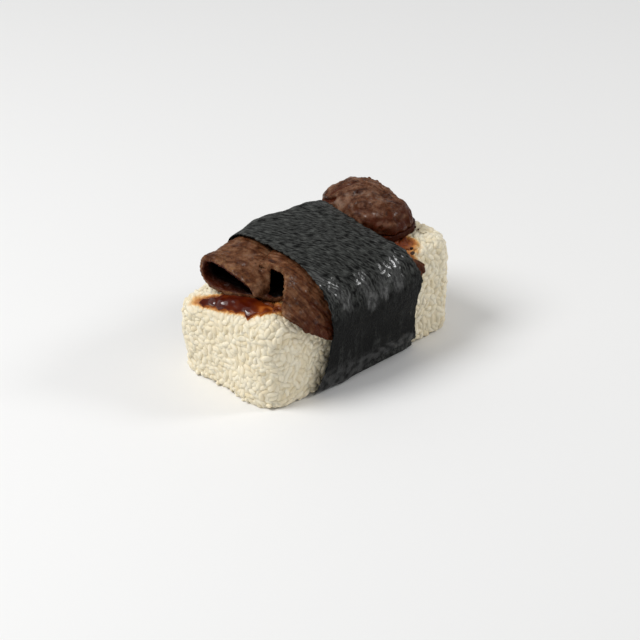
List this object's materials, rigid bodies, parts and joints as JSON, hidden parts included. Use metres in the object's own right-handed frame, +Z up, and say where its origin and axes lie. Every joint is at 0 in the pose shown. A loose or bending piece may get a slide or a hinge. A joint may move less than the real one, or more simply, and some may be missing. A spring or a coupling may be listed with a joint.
{
  "type": "bbq beef musubi",
  "caption": "Pressed rice block topped with folded glazed beef slices and wrapped in a belt of nori; a handheld snack that rests on its flat base.",
  "frame": {"origin": "middle of the footprint, at the level that the rice rests on", "axes": "+X along the rice block from the end with the open roll of beef to the end with the folded slice; -Y towards the long side where the nori is lapped; +Z up"},
  "size_m": [0.0987, 0.0581, 0.0546],
  "materials": {
    "rice": "soft, slightly moist grains",
    "beef": "cooked meat with a wet glaze",
    "nori": "satin dried seaweed"
  },
  "bodies": {
    "root": {"rice": "rice", "beef_curl": "beef", "beef_drape": "beef", "beef_far_slice": "beef", "beef_far_fold": "beef", "nori": "nori"}
  },
  "joints": []
}
